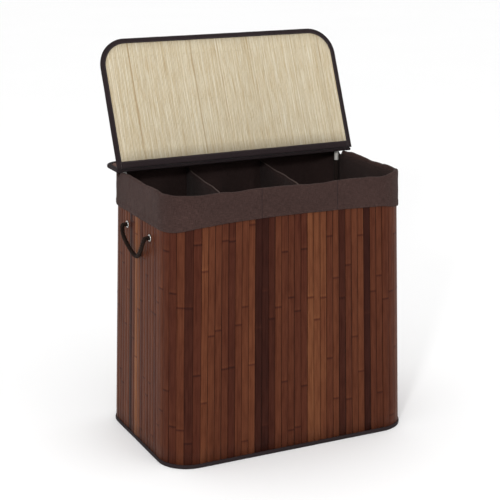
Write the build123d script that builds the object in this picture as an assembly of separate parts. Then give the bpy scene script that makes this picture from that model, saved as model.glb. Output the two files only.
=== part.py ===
from build123d import *
import math
import os

# A three-compartment bamboo laundry hamper, in millimetres. +Z is up, -Y is the front, the origin
# is the middle of the underside. The lid is modelled shut and then turned to its open rest pose.

# Driving dimensions
BASE_W, BASE_D = 600.0, 387.6  # outside of the slats at the floor
TOP_W, TOP_D = 566.0, 365.0  # outside of the slats at the rim
RIM_Z = 600.0  # top of the folded cuff
CORNER_R = 69.0
CUFF_DROP = 69.0
DIVIDER_X = 95.0
DIVIDER_FRONT_Z, DIVIDER_MIDDLE_Z, DIVIDER_BACK_Z = 548.0, 560.0, 580.0
HANDLE_Z, HANDLE_HALF_GAP = 490.0, 66.0
LID_W, LID_OVERHANG_Y = 594.0, 199.0
HINGE_Y, HINGE_Z = 96.5, 607.0
LID_OPEN_DEG = 112.84

# Layer faces, as offsets from the outside of the slats (positive is outwards)
SLAT_T = 2.0
BACKING_OUT, BACKING_IN = -2.1, -3.3
LINER_OUT, LINER_IN = -3.6, -4.8
CUFF_IN, CUFF_OUT = 1.0, 2.6
PIPING_IN, PIPING_OUT = -5.0, 1.9
RIM_BINDING_IN, RIM_BINDING_OUT = -2.0, 0.4

# Heights
PIPING_H = 9.2
COVER_T = 2.0
LINER_FLOOR_Z, LINER_T = 9.4, 1.2
WALL_TOP_Z, RIM_BINDING_H = 576.0, 6.0
LINER_TOP_Z, CUFF_LID_T = 598.2, 1.6
NOTCH_Z, NOTCH_HALF = 583.0, 12.0  # where the cuff dips round a pole

# Slats
FRONT_SLATS, SIDE_SLATS, CORNER_SLATS = 28, 15, 6
SLAT_GAP = 0.5

# Lid layers, measured down from the hinge axis
LID_TOP_DROP = 0.5
LID_BINDING_T, LID_SLAT_T, LID_CORE_T, LID_MAT_T = 6.2, 2.0, 1.6, 1.8
LID_BINDING_W, LID_HINGE_BAND_W = 11.5, 15.5
LID_FRONT_R, STRIP_REAR_R = 64.0, 44.0
HINGE_GAP = 0.6
STRIP_REAR_Y = 196.2
LID_SLAT_PITCH = 17.0
TAPE_T, TAPE_W = 0.5, 12.0

# Rear support poles, in sleeves on the side walls
POLE_Y, POLE_FOOT_INSET, POLE_HEAD_INSET = 119.0, 14.4, 12.7
POLE_R, CAP_R, SLEEVE_R = 3.5, 5.0, 6.5
CAP_LEN = 24.0

# Rope handles
ROPE_R = 4.5
EYELET_BORE_R, EYELET_BARREL_R, EYELET_FLANGE_R, EYELET_FLANGE_T = 4.9, 5.7, 8.0, 1.0
EYELET_HOLE_R = 5.9
KNOT_R = 9.0
STUB_OUT = 6.8  # how far a knot's stub reaches outside the slats
# The half route of a handle rope, from its start to the middle: (along Y, height, outwards)
ROPE_HALF_ROUTE = [(66.0, 490.0, 12.0), (61.0, 476.0, 16.0), (43.0, 456.0, 13.5), (20.0, 440.0, 9.6)]
ROPE_MIDDLE = (0.0, 433.5, 8.2)
BEND_SHARE = 0.46


def width_at(z):
    return BASE_W + (TOP_W - BASE_W) * z / RIM_Z


def depth_at(z):
    return BASE_D + (TOP_D - BASE_D) * z / RIM_Z


def outline(offset, z):
    """The hamper's rounded rectangle at a height, moved outwards by offset."""
    shape = RectangleRounded(width_at(z) + 2 * offset, depth_at(z) + 2 * offset, CORNER_R + offset)
    return Pos(0, 0, z) * shape


def tapered_block(offset, low, high):
    return loft([outline(offset, low).face(), outline(offset, high).face()], ruled=True)


def tapered_wall(outside, inside, low, high):
    return tapered_block(outside, low, high) - tapered_block(inside, low, high)


def turned_hole(sign_x, y, radius, reach=30.0):
    """A cylinder along X through one side wall at handle height."""
    x = sign_x * width_at(HANDLE_Z) / 2
    return Pos(x, y, HANDLE_Z) * Rot(0, 90, 0) * Cylinder(radius, reach)


def handle_holes():
    return [turned_hole(s, y, EYELET_HOLE_R) for s in (-1, 1) for y in (-HANDLE_HALF_GAP, HANDLE_HALF_GAP)]


def cut_all(shape, cutters):
    for cutter in cutters:
        shape = shape - cutter
    return shape


def perimeter_stations(z):
    """Where each slat stands at a height: (wall name, centre x, centre y, outward angle, width)."""
    w, d = width_at(z) / 2, depth_at(z) / 2
    r = CORNER_R
    flat_x, flat_y = w - r, d - r
    stations = []
    for name, count, half, turn in (
        ("front", FRONT_SLATS, flat_x, -90), ("right", SIDE_SLATS, flat_y, 0),
        ("back", FRONT_SLATS, flat_x, 90), ("left", SIDE_SLATS, flat_y, 180),
    ):
        reach = d if name in ("front", "back") else w
        a = math.radians(turn)
        for i in range(count):
            along = -half + (i + 0.5) * 2 * half / count
            x = reach * math.cos(a) - along * math.sin(a)
            y = reach * math.sin(a) + along * math.cos(a)
            stations.append((name, x, y, a, 2 * half / count))
    step = 90.0 / CORNER_SLATS
    for start, sx, sy in ((0, 1, 1), (90, -1, 1), (180, -1, -1), (270, 1, -1)):
        for i in range(CORNER_SLATS):
            a = math.radians(start + (i + 0.5) * step)
            x, y = sx * flat_x + r * math.cos(a), sy * flat_y + r * math.sin(a)
            side = "right" if sx > 0 else "left"
            stations.append((side, x, y, a, 2 * r * math.tan(math.radians(step / 2))))
    return stations


def slat_section(station, z):
    """The four corners of one slat at a height, inner face narrower round a corner."""
    _, x, y, a, width = station
    normal, along = Vector(math.cos(a), math.sin(a), 0), Vector(-math.sin(a), math.cos(a), 0)
    half = (width - SLAT_GAP) / 2
    on_corner = abs(math.cos(a)) > 1e-6 and abs(math.sin(a)) > 1e-6
    inner_half = half * (1 - SLAT_T / CORNER_R) if on_corner else half
    centre = Vector(x, y, z)
    inner = centre - normal * SLAT_T
    return Wire.make_polygon(
        [inner - along * inner_half, inner + along * inner_half, centre + along * half, centre - along * half]
    )


def wall_slats():
    """The bamboo slats, grouped by wall; the corner slats go with the end walls."""
    groups = {"front": [], "back": [], "left": [], "right": []}
    low, high = PIPING_H, WALL_TOP_Z
    for bottom, top in zip(perimeter_stations(low), perimeter_stations(high)):
        slat = Solid.make_loft([slat_section(bottom, low), slat_section(top, high)], ruled=True)
        near_handle = bottom[0] in ("left", "right") and abs(bottom[2]) < HANDLE_HALF_GAP + 25
        if near_handle:
            slat = cut_all(Part(slat.wrapped), handle_holes()).solids()
            groups[bottom[0]].extend(slat)
        else:
            groups[bottom[0]].append(slat)
    return {name + "_slats": Compound(children=solids) for name, solids in groups.items()}


def backing_walls():
    """The cloth that the slats are glued to, as four flat walls and four corners."""
    ring = tapered_wall(BACKING_OUT, BACKING_IN, PIPING_H, LINER_TOP_Z)
    ring = cut_all(ring, handle_holes() + notches())
    half_x, half_y = TOP_W / 2 - CORNER_R - 1, TOP_D / 2 - CORNER_R - 1
    far, tall = 400.0, 2 * RIM_Z
    parts = {
        "front_backing": ring & (Pos(0, -far / 2, 0) * Box(2 * half_x, far, tall)),
        "back_backing": ring & (Pos(0, far / 2, 0) * Box(2 * half_x, far, tall)),
        "left_backing": ring & (Pos(-far / 2, 0, 0) * Box(far, 2 * half_y, tall)),
        "right_backing": ring & (Pos(far / 2, 0, 0) * Box(far, 2 * half_y, tall)),
    }
    for sx, side in ((-1, "left"), (1, "right")):
        for sy, end in ((-1, "front"), (1, "back")):
            block = Pos(sx * (half_x + far / 2), sy * (half_y + far / 2), 0) * Box(far, far, tall)
            parts[f"{end}_{side}_corner_backing"] = ring & block
    return parts


def base_parts():
    """The stiffened floor, the cloth piping round its edge and the binding on the wall's top."""
    cover = tapered_block(PIPING_IN - 0.2, 0, COVER_T)
    board = tapered_block(PIPING_IN - 0.2, COVER_T, PIPING_H)
    piping = tapered_wall(PIPING_OUT, PIPING_IN, 0, PIPING_H)
    top = WALL_TOP_Z + RIM_BINDING_H
    rim = tapered_wall(RIM_BINDING_OUT, RIM_BINDING_IN, WALL_TOP_Z, top)
    return {"base_cover": cover, "base_board": board, "base_piping": piping, "rim_binding": rim}


def notches():
    """The clearances round the two pole heads, at the back of the end walls."""
    reach, tall = 40.0, 2 * (RIM_Z - NOTCH_Z)
    return [Pos(s * TOP_W / 2, POLE_Y, NOTCH_Z + tall / 2) * Box(reach, 2 * NOTCH_HALF, tall) for s in (-1, 1)]


def divider(x):
    """One fabric divider, hung from the front and back walls, its top edge sagging to the front."""
    half = depth_at(RIM_Z) / 2 + LINER_IN - 0.4
    low = LINER_FLOOR_Z + LINER_T + 0.1
    profile = Polyline((half, DIVIDER_BACK_Z), (half, low), (-half, low), (-half, DIVIDER_FRONT_Z))
    sag = ThreePointArc((-half, DIVIDER_FRONT_Z), (0, DIVIDER_MIDDLE_Z), (half, DIVIDER_BACK_Z))
    face = make_face([profile, sag])
    return extrude(Plane.YZ.offset(x) * face, amount=LINER_T / 2, both=True)


def liner_parts():
    walls = tapered_wall(LINER_OUT, LINER_IN, LINER_FLOOR_Z, LINER_TOP_Z)
    floor = tapered_block(LINER_IN, LINER_FLOOR_Z, LINER_FLOOR_Z + LINER_T)
    bag = cut_all(walls + floor, handle_holes() + notches())
    low = RIM_Z - CUFF_DROP
    cuff = tapered_block(CUFF_OUT, low, RIM_Z) - tapered_block(CUFF_IN, low, RIM_Z - CUFF_LID_T)
    cuff = cut_all(cuff - tapered_block(LINER_IN, low, RIM_Z), notches())
    return {
        "liner_bag": bag, "liner_cuff": cuff,
        "left_divider": divider(-DIVIDER_X), "right_divider": divider(DIVIDER_X),
    }


def pole_inset(z):
    return POLE_FOOT_INSET + (POLE_HEAD_INSET - POLE_FOOT_INSET) * z / RIM_Z


def along_pole(sign_x, radius, low, high):
    """A round bar that leans with the side wall, between two heights."""
    foot = Vector(sign_x * (width_at(low) / 2 - pole_inset(low)), POLE_Y, low)
    head = Vector(sign_x * (width_at(high) / 2 - pole_inset(high)), POLE_Y, high)
    plane = Plane(origin=foot, z_dir=head - foot)
    return plane * Cylinder(radius, (head - foot).length, align=(Align.CENTER, Align.CENTER, Align.MIN))


def pole_parts(sign_x, side):
    foot_z, head_z = LINER_FLOOR_Z + LINER_T + 1, RIM_Z
    cap_z = head_z - CAP_LEN
    sleeve_top = cap_z - 0.5
    clear = 0.05
    pole = along_pole(sign_x, POLE_R, foot_z, head_z - 2)
    cap = along_pole(sign_x, CAP_R, cap_z, head_z) - along_pole(sign_x, POLE_R + clear, cap_z - 1, head_z - 1.9)
    sleeve = along_pole(sign_x, SLEEVE_R, foot_z + 20, sleeve_top)
    sleeve = sleeve - along_pole(sign_x, POLE_R + 1.2, foot_z, sleeve_top + 5)
    return {f"{side}_pole": pole, f"{side}_pole_cap": cap, f"{side}_pole_sleeve": sleeve}


def eyelet(sign_x, y):
    """A pressed metal eyelet: a barrel through the wall with a flange on each face."""
    wall = width_at(HANDLE_Z) / 2
    out, inn = wall + 0.5, wall + LINER_IN - 0.5

    def tube(radius, x0, x1):
        middle, length = sign_x * (x0 + x1) / 2, abs(x1 - x0)
        return Pos(middle, y, HANDLE_Z) * Rot(0, 90, 0) * Cylinder(radius, length)

    body = tube(EYELET_BARREL_R, inn - EYELET_FLANGE_T, out + EYELET_FLANGE_T)
    body = body + tube(EYELET_FLANGE_R, out, out + EYELET_FLANGE_T)
    body = body + tube(EYELET_FLANGE_R, inn - EYELET_FLANGE_T, inn)
    return (body - tube(EYELET_BORE_R, inn - 3, out + 3)).solid()


def knot(sign_x, y):
    """The knot inside the bag, with the stub of rope that passes out through its eyelet."""
    wall = width_at(HANDLE_Z) / 2
    inner = wall + LINER_IN - 0.5 - EYELET_FLANGE_T
    outer = wall + STUB_OUT
    middle = inner - KNOT_R - 0.2
    profile_arc = math.sqrt(KNOT_R**2 - ROPE_R**2)
    ball = ThreePointArc((middle - KNOT_R, 0), (middle, KNOT_R), (middle + profile_arc, ROPE_R))
    stub = Polyline((middle + profile_arc, ROPE_R), (outer, ROPE_R), (outer, 0), (middle - KNOT_R, 0))
    turned = revolve(make_face([ball, stub]), Axis.X)
    if sign_x < 0:
        turned = turned.mirror(Plane.YZ)
    return (Pos(0, y, HANDLE_Z) * turned).solid()


def rope_points(sign_x):
    wall = width_at(HANDLE_Z) / 2
    half = ROPE_HALF_ROUTE
    whole = half + [ROPE_MIDDLE] + [(-y, z, out) for y, z, out in reversed(half)]
    return [Vector(sign_x * (wall + out), y, z) for y, z, out in whole]


def rope_handle(sign_x):
    """The hanging rope, a tube along straight runs and the widest arcs that they allow."""
    points = rope_points(sign_x)
    radii = []
    for a, b, c in zip(points, points[1:], points[2:]):
        run_in, run_out = b - a, c - b
        turn = math.radians(run_in.get_angle(run_out))
        radii.append(BEND_SHARE * min(run_in.length, run_out.length) / math.tan(turn / 2))
    print("handle rope radii", [round(r, 1) for r in radii])
    path = FilletPolyline(*points, radius=radii)
    section = Plane(origin=points[0], z_dir=points[1] - points[0]) * Circle(ROPE_R)
    tube = sweep(section, path=path)
    print("handle rope length", round(path.length, 1), "volume ratio",
          round(tube.volume / (math.pi * ROPE_R**2 * path.length), 4))
    return tube


def lid_face(half_w, y_far, y_hinge, radius, inset=0.0, hinge_inset=0.0):
    """A lid leaf's outline, square at the hinge and rounded at its far corners."""
    toward = -1 if y_far < y_hinge else 1
    far, near = y_far - toward * inset, y_hinge + toward * hinge_inset
    w, r = half_w - inset, radius - inset
    corner = far - toward * r
    s = r * (1 - math.sqrt(0.5))
    edges = [
        Line((-w, near), (w, near)), Line((w, near), (w, corner)),
        ThreePointArc((w, corner), (w - s, far - toward * s), (w - r, far)),
        Line((w - r, far), (-w + r, far)),
        ThreePointArc((-w + r, far), (-w + s, far - toward * s), (-w, corner)),
        Line((-w, corner), (-w, near)),
    ]
    return make_face(edges)


def slab(face, top, thickness):
    return extrude(Pos(0, 0, top - thickness) * face, amount=thickness)


def leaf_parts(y_far, y_hinge, radius):
    """The layers of one lid leaf, shut: slats outside, board, natural mat inside, cloth binding."""
    top = HINGE_Z - LID_TOP_DROP
    toward = -1 if y_far < y_hinge else 1
    outer = lid_face(LID_W / 2, y_far, y_hinge, radius)
    inner = lid_face(LID_W / 2, y_far, y_hinge, radius, LID_BINDING_W, LID_HINGE_BAND_W)
    binding = slab(outer, top, LID_BINDING_T) - slab(inner, top + 1, LID_BINDING_T + 2)
    z = top - 0.3
    slat_block = slab(inner, z, LID_SLAT_T)
    count = int((LID_W - 2 * LID_BINDING_W) // LID_SLAT_PITCH)
    pitch = (LID_W - 2 * LID_BINDING_W) / count
    middle_y, reach = (y_far + y_hinge) / 2, abs(y_far - y_hinge)
    slats = []
    for i in range(count):
        x = -LID_W / 2 + LID_BINDING_W + (i + 0.5) * pitch
        strip = slat_block & (Pos(x, middle_y, z) * Box(pitch - SLAT_GAP, reach, 4 * LID_SLAT_T))
        slats.extend(strip.solids())
    core = slab(inner, z - LID_SLAT_T, LID_CORE_T)
    mat = slab(inner, z - LID_SLAT_T - LID_CORE_T, LID_MAT_T)
    tape_y = y_hinge + toward * TAPE_W / 2
    tape = Pos(0, tape_y, top + TAPE_T / 2) * Box(LID_W - 8, TAPE_W, TAPE_T)
    return {"slats": Compound(children=slats), "core": core, "inner_mat": mat,
            "binding": binding, "hinge_tape": tape}


def lid_parts():
    hinge = Axis((0, HINGE_Y, HINGE_Z), (-1, 0, 0))
    panel = leaf_parts(-LID_OVERHANG_Y, HINGE_Y - HINGE_GAP, LID_FRONT_R)
    strip = leaf_parts(STRIP_REAR_Y, HINGE_Y + HINGE_GAP, STRIP_REAR_R)
    parts = {f"lid_{name}": shape.rotate(hinge, LID_OPEN_DEG) for name, shape in panel.items()}
    parts.update({f"rear_strip_{name}": shape for name, shape in strip.items()})
    return parts


def handle_parts():
    parts = {}
    for sign_x, side in ((-1, "left"), (1, "right")):
        ends = (-HANDLE_HALF_GAP, HANDLE_HALF_GAP)
        parts[f"{side}_eyelets"] = Compound(children=[eyelet(sign_x, y) for y in ends])
        parts[f"{side}_knots"] = Compound(children=[knot(sign_x, y) for y in ends])
        parts[f"{side}_rope_handle"] = rope_handle(sign_x)
        parts.update(pole_parts(sign_x, side))
    return parts


def main():
    os.makedirs("parts", exist_ok=True)
    parts = {}
    for group in (base_parts, backing_walls, wall_slats, liner_parts, handle_parts, lid_parts):
        parts.update(group())
    for name, shape in parts.items():
        export_step(shape, f"parts/{name}.step")
    print(len(parts), "nodes written")


main()
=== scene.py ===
"""A three-compartment bamboo laundry hamper, lid leaning open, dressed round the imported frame."""

import math
import random

import bpy
from mathutils import Matrix, Vector, noise


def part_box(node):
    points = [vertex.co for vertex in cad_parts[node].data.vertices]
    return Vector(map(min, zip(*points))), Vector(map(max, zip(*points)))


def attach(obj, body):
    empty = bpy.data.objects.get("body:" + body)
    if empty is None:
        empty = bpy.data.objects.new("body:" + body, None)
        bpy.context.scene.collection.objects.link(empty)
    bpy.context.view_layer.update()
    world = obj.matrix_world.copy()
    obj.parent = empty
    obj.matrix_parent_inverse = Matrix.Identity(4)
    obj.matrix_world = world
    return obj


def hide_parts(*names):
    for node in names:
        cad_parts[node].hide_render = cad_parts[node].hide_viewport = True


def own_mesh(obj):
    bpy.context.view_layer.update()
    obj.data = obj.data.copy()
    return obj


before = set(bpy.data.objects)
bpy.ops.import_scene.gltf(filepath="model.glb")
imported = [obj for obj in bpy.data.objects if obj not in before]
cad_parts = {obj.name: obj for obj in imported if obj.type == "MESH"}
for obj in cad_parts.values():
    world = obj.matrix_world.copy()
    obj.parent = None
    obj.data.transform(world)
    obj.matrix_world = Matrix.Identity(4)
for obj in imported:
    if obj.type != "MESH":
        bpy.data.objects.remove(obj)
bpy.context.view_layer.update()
RNG = random.Random(7)


# Camera
CAMERA_PLACE = (-1.3043, -2.6566, 1.2325)
CAMERA_YAW, CAMERA_PITCH = 25.85, 15.49
CAMERA_LENS = 97.19

camera_data = bpy.data.cameras.new("camera")
camera_data.lens = CAMERA_LENS
camera = bpy.data.objects.new("camera", camera_data)
camera.location = CAMERA_PLACE
camera.rotation_euler = (math.radians(90 - CAMERA_PITCH), 0, math.radians(-CAMERA_YAW))
bpy.context.scene.collection.objects.link(camera)
bpy.context.scene.camera = camera


# Sizes, in metres. The body's outline comes from the frame's own nodes.
slats_low, slats_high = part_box("front_slats")
cuff_low, cuff_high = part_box("liner_cuff")
BASE_HALF_D, SLAT_LOW_Z, SLAT_HIGH_Z = -slats_low[1], slats_low[2], slats_high[2]
CUFF_LOW_Z, RIM_Z = cuff_low[2], cuff_high[2]
TAPER_X, TAPER_Y = 34.0 / 1200.0, 22.6 / 1200.0  # how far a wall leans in, per unit of height
FLOOR_HALF_W, FLOOR_HALF_D = 0.300, BASE_HALF_D + TAPER_Y * SLAT_LOW_Z
CORNER_R = 0.069

# The rim's notches round the pole heads, and the line through the handles' eyelets
NOTCH_Z, NOTCH_Y, NOTCH_HALF = 0.588, 0.119, 0.012
HANDLE_Z, HANDLE_HALF_GAP = 0.490, 0.066
WALL_X = FLOOR_HALF_W - TAPER_X * HANDLE_Z

# The lid and the rear leaf, as they lie when shut
HINGE = Vector((0, 0.0965, 0.607))
HINGE_GAP = 0.0006
LID_OPEN_DEG = 112.84
LID_TOP_Z, LID_T = 0.6065, 0.0062
LID_HALF_W, LID_BINDING_W, HINGE_BAND_W = 0.297, 0.0115, 0.0155
LID_FAR_Y, LID_R = -0.199, 0.064
STRIP_FAR_Y, STRIP_R = 0.1962, 0.044
LID_TURN = (
    Matrix.Translation(HINGE)
    @ Matrix.Rotation(math.radians(LID_OPEN_DEG), 4, Vector((-1, 0, 0)))
    @ Matrix.Translation(-HINGE)
)
HERE = Matrix.Identity(4)


# Node helpers


class Look:
    """One material's node tree, built a node at a time."""

    def __init__(self, name, colour, roughness, shine=0.5):
        self.material = bpy.data.materials.new(name)
        self.material.use_nodes = True
        self.tree = self.material.node_tree
        self.shader = self.tree.nodes["Principled BSDF"]
        self.shader.inputs["Base Color"].default_value = (*colour, 1)
        self.shader.inputs["Roughness"].default_value = roughness
        self.shader.inputs["Specular IOR Level"].default_value = shine

    def node(self, kind, **values):
        made = self.tree.nodes.new("ShaderNode" + kind)
        for key, value in values.items():
            setattr(made, key, value)
        return made

    def link(self, source, target):
        self.tree.links.new(source, target)

    def attribute(self, name):
        return self.node("Attribute", attribute_name=name)

    def scaled(self, source, scale):
        mapping = self.node("Mapping")
        mapping.inputs["Scale"].default_value = scale
        self.link(source, mapping.inputs["Vector"])
        return mapping.outputs["Vector"]

    def noise(self, vector, scale, detail=3.0):
        made = self.node("TexNoise")
        made.inputs["Scale"].default_value = scale
        made.inputs["Detail"].default_value = detail
        self.link(vector, made.inputs["Vector"])
        return made.outputs["Fac"]

    def ramp(self, source, stops):
        made = self.node("ValToRGB")
        elements = made.color_ramp.elements
        while len(elements) < len(stops):
            elements.new(0.5)
        for element, (place, colour) in zip(elements, stops):
            element.position = place
            element.color = (*colour, 1)
        self.link(source, made.inputs["Fac"])
        return made.outputs["Color"]

    def mix(self, a, b, amount=0.5, blend="MULTIPLY"):
        made = self.node("Mix", data_type="RGBA", blend_type=blend)
        self.link(a, made.inputs["A"])
        self.link(b, made.inputs["B"])
        if isinstance(amount, float):
            made.inputs["Factor"].default_value = amount
        else:
            self.link(amount, made.inputs["Factor"])
        return made.outputs["Result"]

    def maths(self, operation, a, b):
        made = self.node("Math", operation=operation)
        for socket, value in zip(made.inputs, (a, b)):
            if isinstance(value, float):
                socket.default_value = value
            else:
                self.link(value, socket)
        return made.outputs["Value"]

    def bump(self, height, distance, strength=1.0):
        made = self.node("Bump")
        made.inputs["Distance"].default_value = distance
        made.inputs["Strength"].default_value = strength
        self.link(height, made.inputs["Height"])
        self.link(made.outputs["Normal"], self.shader.inputs["Normal"])

    def rough(self, source, low, high):
        made = self.node("MapRange")
        made.inputs["To Min"].default_value = low
        made.inputs["To Max"].default_value = high
        self.link(source, made.inputs["Value"])
        self.link(made.outputs["Result"], self.shader.inputs["Roughness"])


def grey(level):
    return (level, level, level)


def bamboo(name, tones, streak_dark, roughness, stain_scale, stain_dark, bump, shine):
    """Bamboo with long fibres: each strip has its own tone, and blotches cross it."""
    look = Look(name, tones[0][1], roughness, shine)
    grain = look.attribute("grain").outputs["Vector"]
    tone = look.attribute("tone").outputs["Fac"]
    base = look.ramp(tone, tones)
    fibres = look.noise(look.scaled(grain, (1900, 16, 1)), 1.0, 5.0)
    long_streaks = look.noise(look.scaled(grain, (420, 3.2, 1)), 1.0, 3.0)
    stain = look.noise(look.scaled(grain, stain_scale), 1.0, 4.0)
    coloured = look.mix(base, look.ramp(fibres, [(0.3, streak_dark), (0.62, grey(1))]), 0.75)
    coloured = look.mix(coloured, look.ramp(long_streaks, [(0.28, streak_dark), (0.5, grey(1))]), 0.7)
    coloured = look.mix(coloured, look.ramp(stain, [(0.34, stain_dark), (0.56, grey(1))]), 0.55)
    look.link(coloured, look.shader.inputs["Base Color"])
    look.rough(long_streaks, roughness - 0.1, roughness + 0.14)
    look.bump(fibres, bump)
    return look.material


CLOTH_SHINE = 0.06


def cloth(name, warp, weft, pitch, roughness=0.95, source="weave", slub=0.5, sheen=0.03):
    """A plain weave: two sets of threads with slubs and painted shade in its hollows, over coordinates in
    metres.

    The coordinates are the mesh's own "weave" attribute, or the object's when source is "place".
    """
    look = Look(name, warp, roughness, CLOTH_SHINE)
    if source == "weave":
        vector = look.attribute("weave").outputs["Vector"]
    else:
        vector = look.node("TexCoord").outputs["Object"]
    split = look.node("SeparateXYZ")
    look.link(vector, split.inputs["Vector"])
    across, up = split.outputs["X"], split.outputs["Y" if source == "weave" else "Z"]
    if source != "weave":
        across = look.maths("ADD", across, split.outputs["Y"])
    turn = 2 * math.pi / pitch
    wave_a = look.maths("SINE", look.maths("MULTIPLY", across, turn), 0.0)
    wave_b = look.maths("SINE", look.maths("MULTIPLY", up, turn), 0.0)
    crossing = look.maths("MULTIPLY", wave_a, wave_b)
    height = look.maths("MULTIPLY_ADD", crossing, 0.5)
    height.node.inputs[2].default_value = 0.5
    slub_a = look.noise(look.scaled(vector, (90, 1100, 90)), 1.0, 3.0)
    slub_b = look.noise(look.scaled(vector, (1100, 90, 1100)), 1.0, 3.0)
    broad = look.noise(vector, 9.0, 3.0)
    threads = look.maths("MULTIPLY", slub_a, slub_b)
    # The weave's low cells go darker than the warp colour: painted shade in the hollows between threads.
    dark = tuple(0.55 * c for c in warp)
    colour = look.ramp(height, [(0.0, dark), (0.45, warp), (1.0, weft)])
    colour = look.mix(colour, look.ramp(threads, [(0.12, grey(0.5)), (0.42, grey(1.5))]), slub)
    colour = look.mix(colour, look.ramp(broad, [(0.3, grey(0.82)), (0.7, grey(1.1))]), 0.8)
    look.link(colour, look.shader.inputs["Base Color"])
    look.shader.inputs["Sheen Weight"].default_value = sheen
    look.shader.inputs["Sheen Roughness"].default_value = 0.5
    look.bump(look.maths("ADD", height, threads), pitch * 0.3, 0.6)
    return look.material


def hard(name, colour, roughness, metallic=0.0, scale=300.0, depth=0.00005, contrast=0.12):
    """A hard surface with a fine, slightly uneven finish."""
    look = Look(name, colour, roughness)
    place = look.node("TexCoord").outputs["Object"]
    fine = look.noise(place, scale, 4.0)
    low = tuple(c * (1 - contrast) for c in colour)
    high = tuple(min(1.0, c * (1 + contrast)) for c in colour)
    look.link(look.ramp(fine, [(0.3, low), (0.7, high)]), look.shader.inputs["Base Color"])
    look.shader.inputs["Metallic"].default_value = metallic
    look.rough(look.noise(place, scale * 0.3, 3.0), roughness * 0.8, min(1.0, roughness * 1.3))
    look.bump(fine, depth, 0.5)
    return look.material


DARK_TONES = [
    (0.0, (0.032, 0.0090, 0.0060)), (0.35, (0.072, 0.0205, 0.0112)),
    (0.7, (0.122, 0.0400, 0.0185)), (1.0, (0.215, 0.0860, 0.0360)),
]
LIGHT_TONES = [
    (0.0, (0.42, 0.32, 0.20)), (0.12, (0.57, 0.51, 0.385)),
    (0.6, (0.625, 0.57, 0.44)), (1.0, (0.69, 0.645, 0.525)),
]
DARK_BAMBOO = bamboo(
    "dark_bamboo", DARK_TONES, streak_dark=(0.5, 0.38, 0.34), roughness=0.42,
    stain_scale=(110, 22, 1), stain_dark=(0.66, 0.58, 0.55), bump=0.0002, shine=0.04,
)
LIGHT_BAMBOO = bamboo(
    "light_bamboo", LIGHT_TONES, streak_dark=(0.76, 0.66, 0.5), roughness=0.6,
    stain_scale=(900, 22, 1), stain_dark=(0.66, 0.53, 0.36), bump=0.0001, shine=0.1,
)

# Each cloth: its warp and weft colours, then the pitch of its threads
CUFF_CLOTH = cloth("cuff_linen", (0.042, 0.0225, 0.0195), (0.074, 0.045, 0.040), 0.0013, slub=0.85)
LINER_CLOTH = cloth("liner_cloth", (0.026, 0.0155, 0.0142), (0.044, 0.028, 0.0255), 0.0009)
BINDING_CLOTH = cloth("binding_cloth", (0.021, 0.0145, 0.016), (0.036, 0.026, 0.0275), 0.0008, slub=0.3)
# Near-black cloth for the hidden backing, cover, core and sleeve nodes; where it shows through the gaps
# between slats and between the lid's sticks, its darkness is painted shade.
BACKING_CLOTH_AND_GAP_SHADE = cloth(
    "backing_cloth", (0.018, 0.012, 0.010), (0.030, 0.020, 0.018), 0.0010, source="place",
)
PIPING_CLOTH = cloth("piping_cloth", (0.075, 0.052, 0.046), (0.110, 0.080, 0.070), 0.0008, slub=0.3)
# The rope's pale weft, on the raised cells of the weave, is partly fibre colour and partly painted
# highlight on its strands.
ROPE_FIBRE_AND_HIGHLIGHT = cloth(
    "rope_fibre_and_highlight", (0.007, 0.004, 0.003), (0.055, 0.032, 0.024), 0.0012, 0.6, slub=0.8, sheen=0.0,
)
THREAD = hard("sewing_thread", (0.060, 0.045, 0.046), 0.75, scale=2500.0)
MAT_THREAD = hard("mat_thread", (0.60, 0.53, 0.37), 0.8, scale=2500.0)
BOARD = hard("board", (0.30, 0.22, 0.14), 0.85, scale=180.0, depth=0.0002, contrast=0.25)
STEEL = hard("pole_steel", (0.58, 0.58, 0.57), 0.3, metallic=1.0, scale=500.0)
CHROME = hard("eyelet_chrome", (0.50, 0.49, 0.47), 0.25, metallic=1.0, scale=600.0)
CAP_PLASTIC = hard("cap_plastic", (0.66, 0.64, 0.60), 0.45, scale=700.0)


# Mesh helpers


def new_mesh(name, verts, faces, material, data=None):
    """A smooth mesh with its material, and the attributes which that material reads."""
    mesh = bpy.data.meshes.new(name)
    mesh.from_pydata([tuple(v) for v in verts], [], faces)
    mesh.update()
    mesh.materials.append(material)
    for key, (kind, values) in (data or {}).items():
        attribute = mesh.attributes.new(key, kind, "POINT")
        field = "vector" if kind == "FLOAT_VECTOR" else "value"
        flat = [c for v in values for c in v] if kind == "FLOAT_VECTOR" else values
        attribute.data.foreach_set(field, flat)
    mesh.polygons.foreach_set("use_smooth", [True] * len(mesh.polygons))
    return mesh


def piece(name, verts, faces, material, body, nodes=(), slot=None, data=None):
    """A mesh object that rides on a body and stands for the CAD nodes it is given."""
    made = bpy.data.objects.new(name, new_mesh(name, verts, faces, material, data))
    bpy.context.scene.collection.objects.link(made)
    if nodes:
        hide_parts(*nodes)
    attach(made, body)
    return made


def woven(weave):
    """The attribute a cloth's threads follow."""
    return {"weave": ("FLOAT_VECTOR", weave)}


def grid_faces(columns, rows, closed_columns=False, start=0):
    """Quads over a grid stored row by row."""
    faces = []
    for row in range(rows - 1):
        for column in range(columns if closed_columns else columns - 1):
            after = (column + 1) % columns
            low, high = start + row * columns, start + (row + 1) * columns
            faces.append((low + column, low + after, high + after, high + column))
    return faces


def bar_faces(count, rows, start=0):
    """The faces of a closed bar, whose section has count points: along it, its back and its ends."""
    faces = grid_faces(count, rows, start=start)
    for row in range(rows - 1):
        low = start + row * count
        faces.append((low + count - 1, low, low + count, low + 2 * count - 1))
    faces.append(tuple(start + i for i in range(count))[::-1])
    faces.append(tuple(start + (rows - 1) * count + i for i in range(count)))
    return faces


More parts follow.
